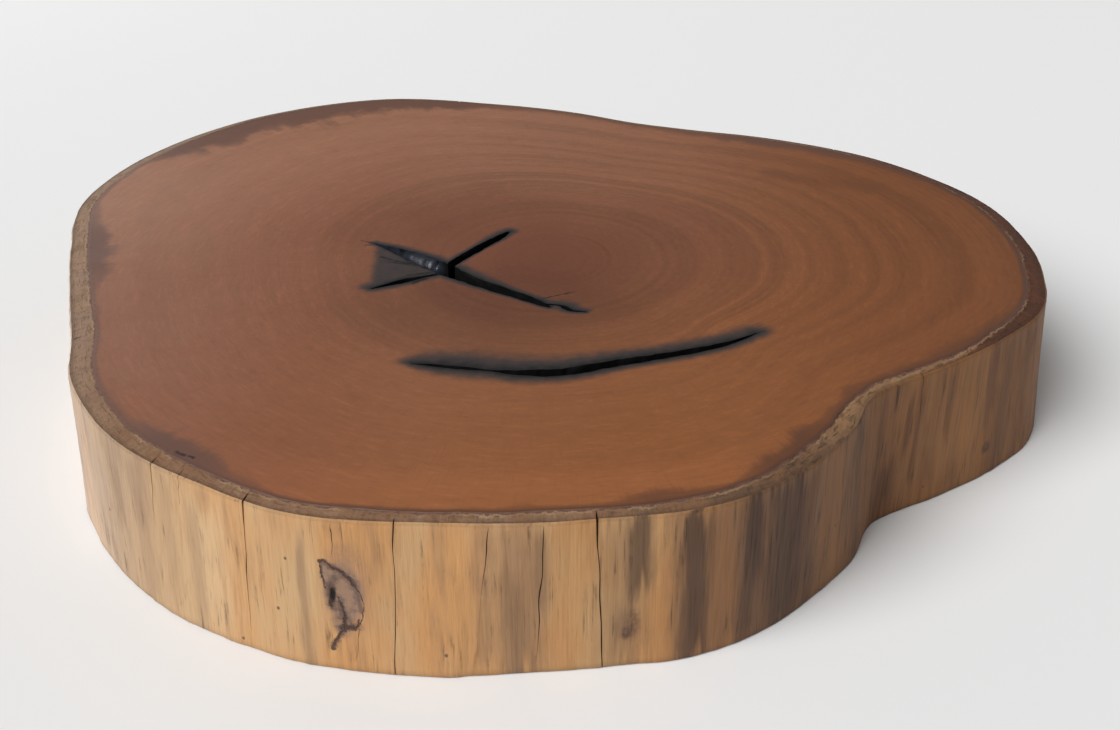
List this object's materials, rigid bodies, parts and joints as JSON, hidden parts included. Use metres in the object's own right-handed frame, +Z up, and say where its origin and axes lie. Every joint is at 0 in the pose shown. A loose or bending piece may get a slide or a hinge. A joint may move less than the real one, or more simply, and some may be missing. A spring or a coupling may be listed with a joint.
{
  "type": "wood slice",
  "caption": "Thick cross-cut slice of a large hardwood trunk, bark off, top planed and varnished, edge eased, with an open ring shake and a star-shaped heart check.",
  "frame": {"origin": "on the underside, under the middle of the outline's box", "axes": "+Z up along the grain, from the sawn underside to the planed top; +X along the longest extent, towards the buttress lobe; -Y towards the side with the sharp hollow and the large knot"},
  "size_m": [1, 0.925, 0.146],
  "materials": {
    "wood": "reddish-brown heartwood under satin varnish, pale debarked sapwood on the side"
  },
  "bodies": {
    "root": {"wood_slice": "wood"}
  },
  "joints": []
}
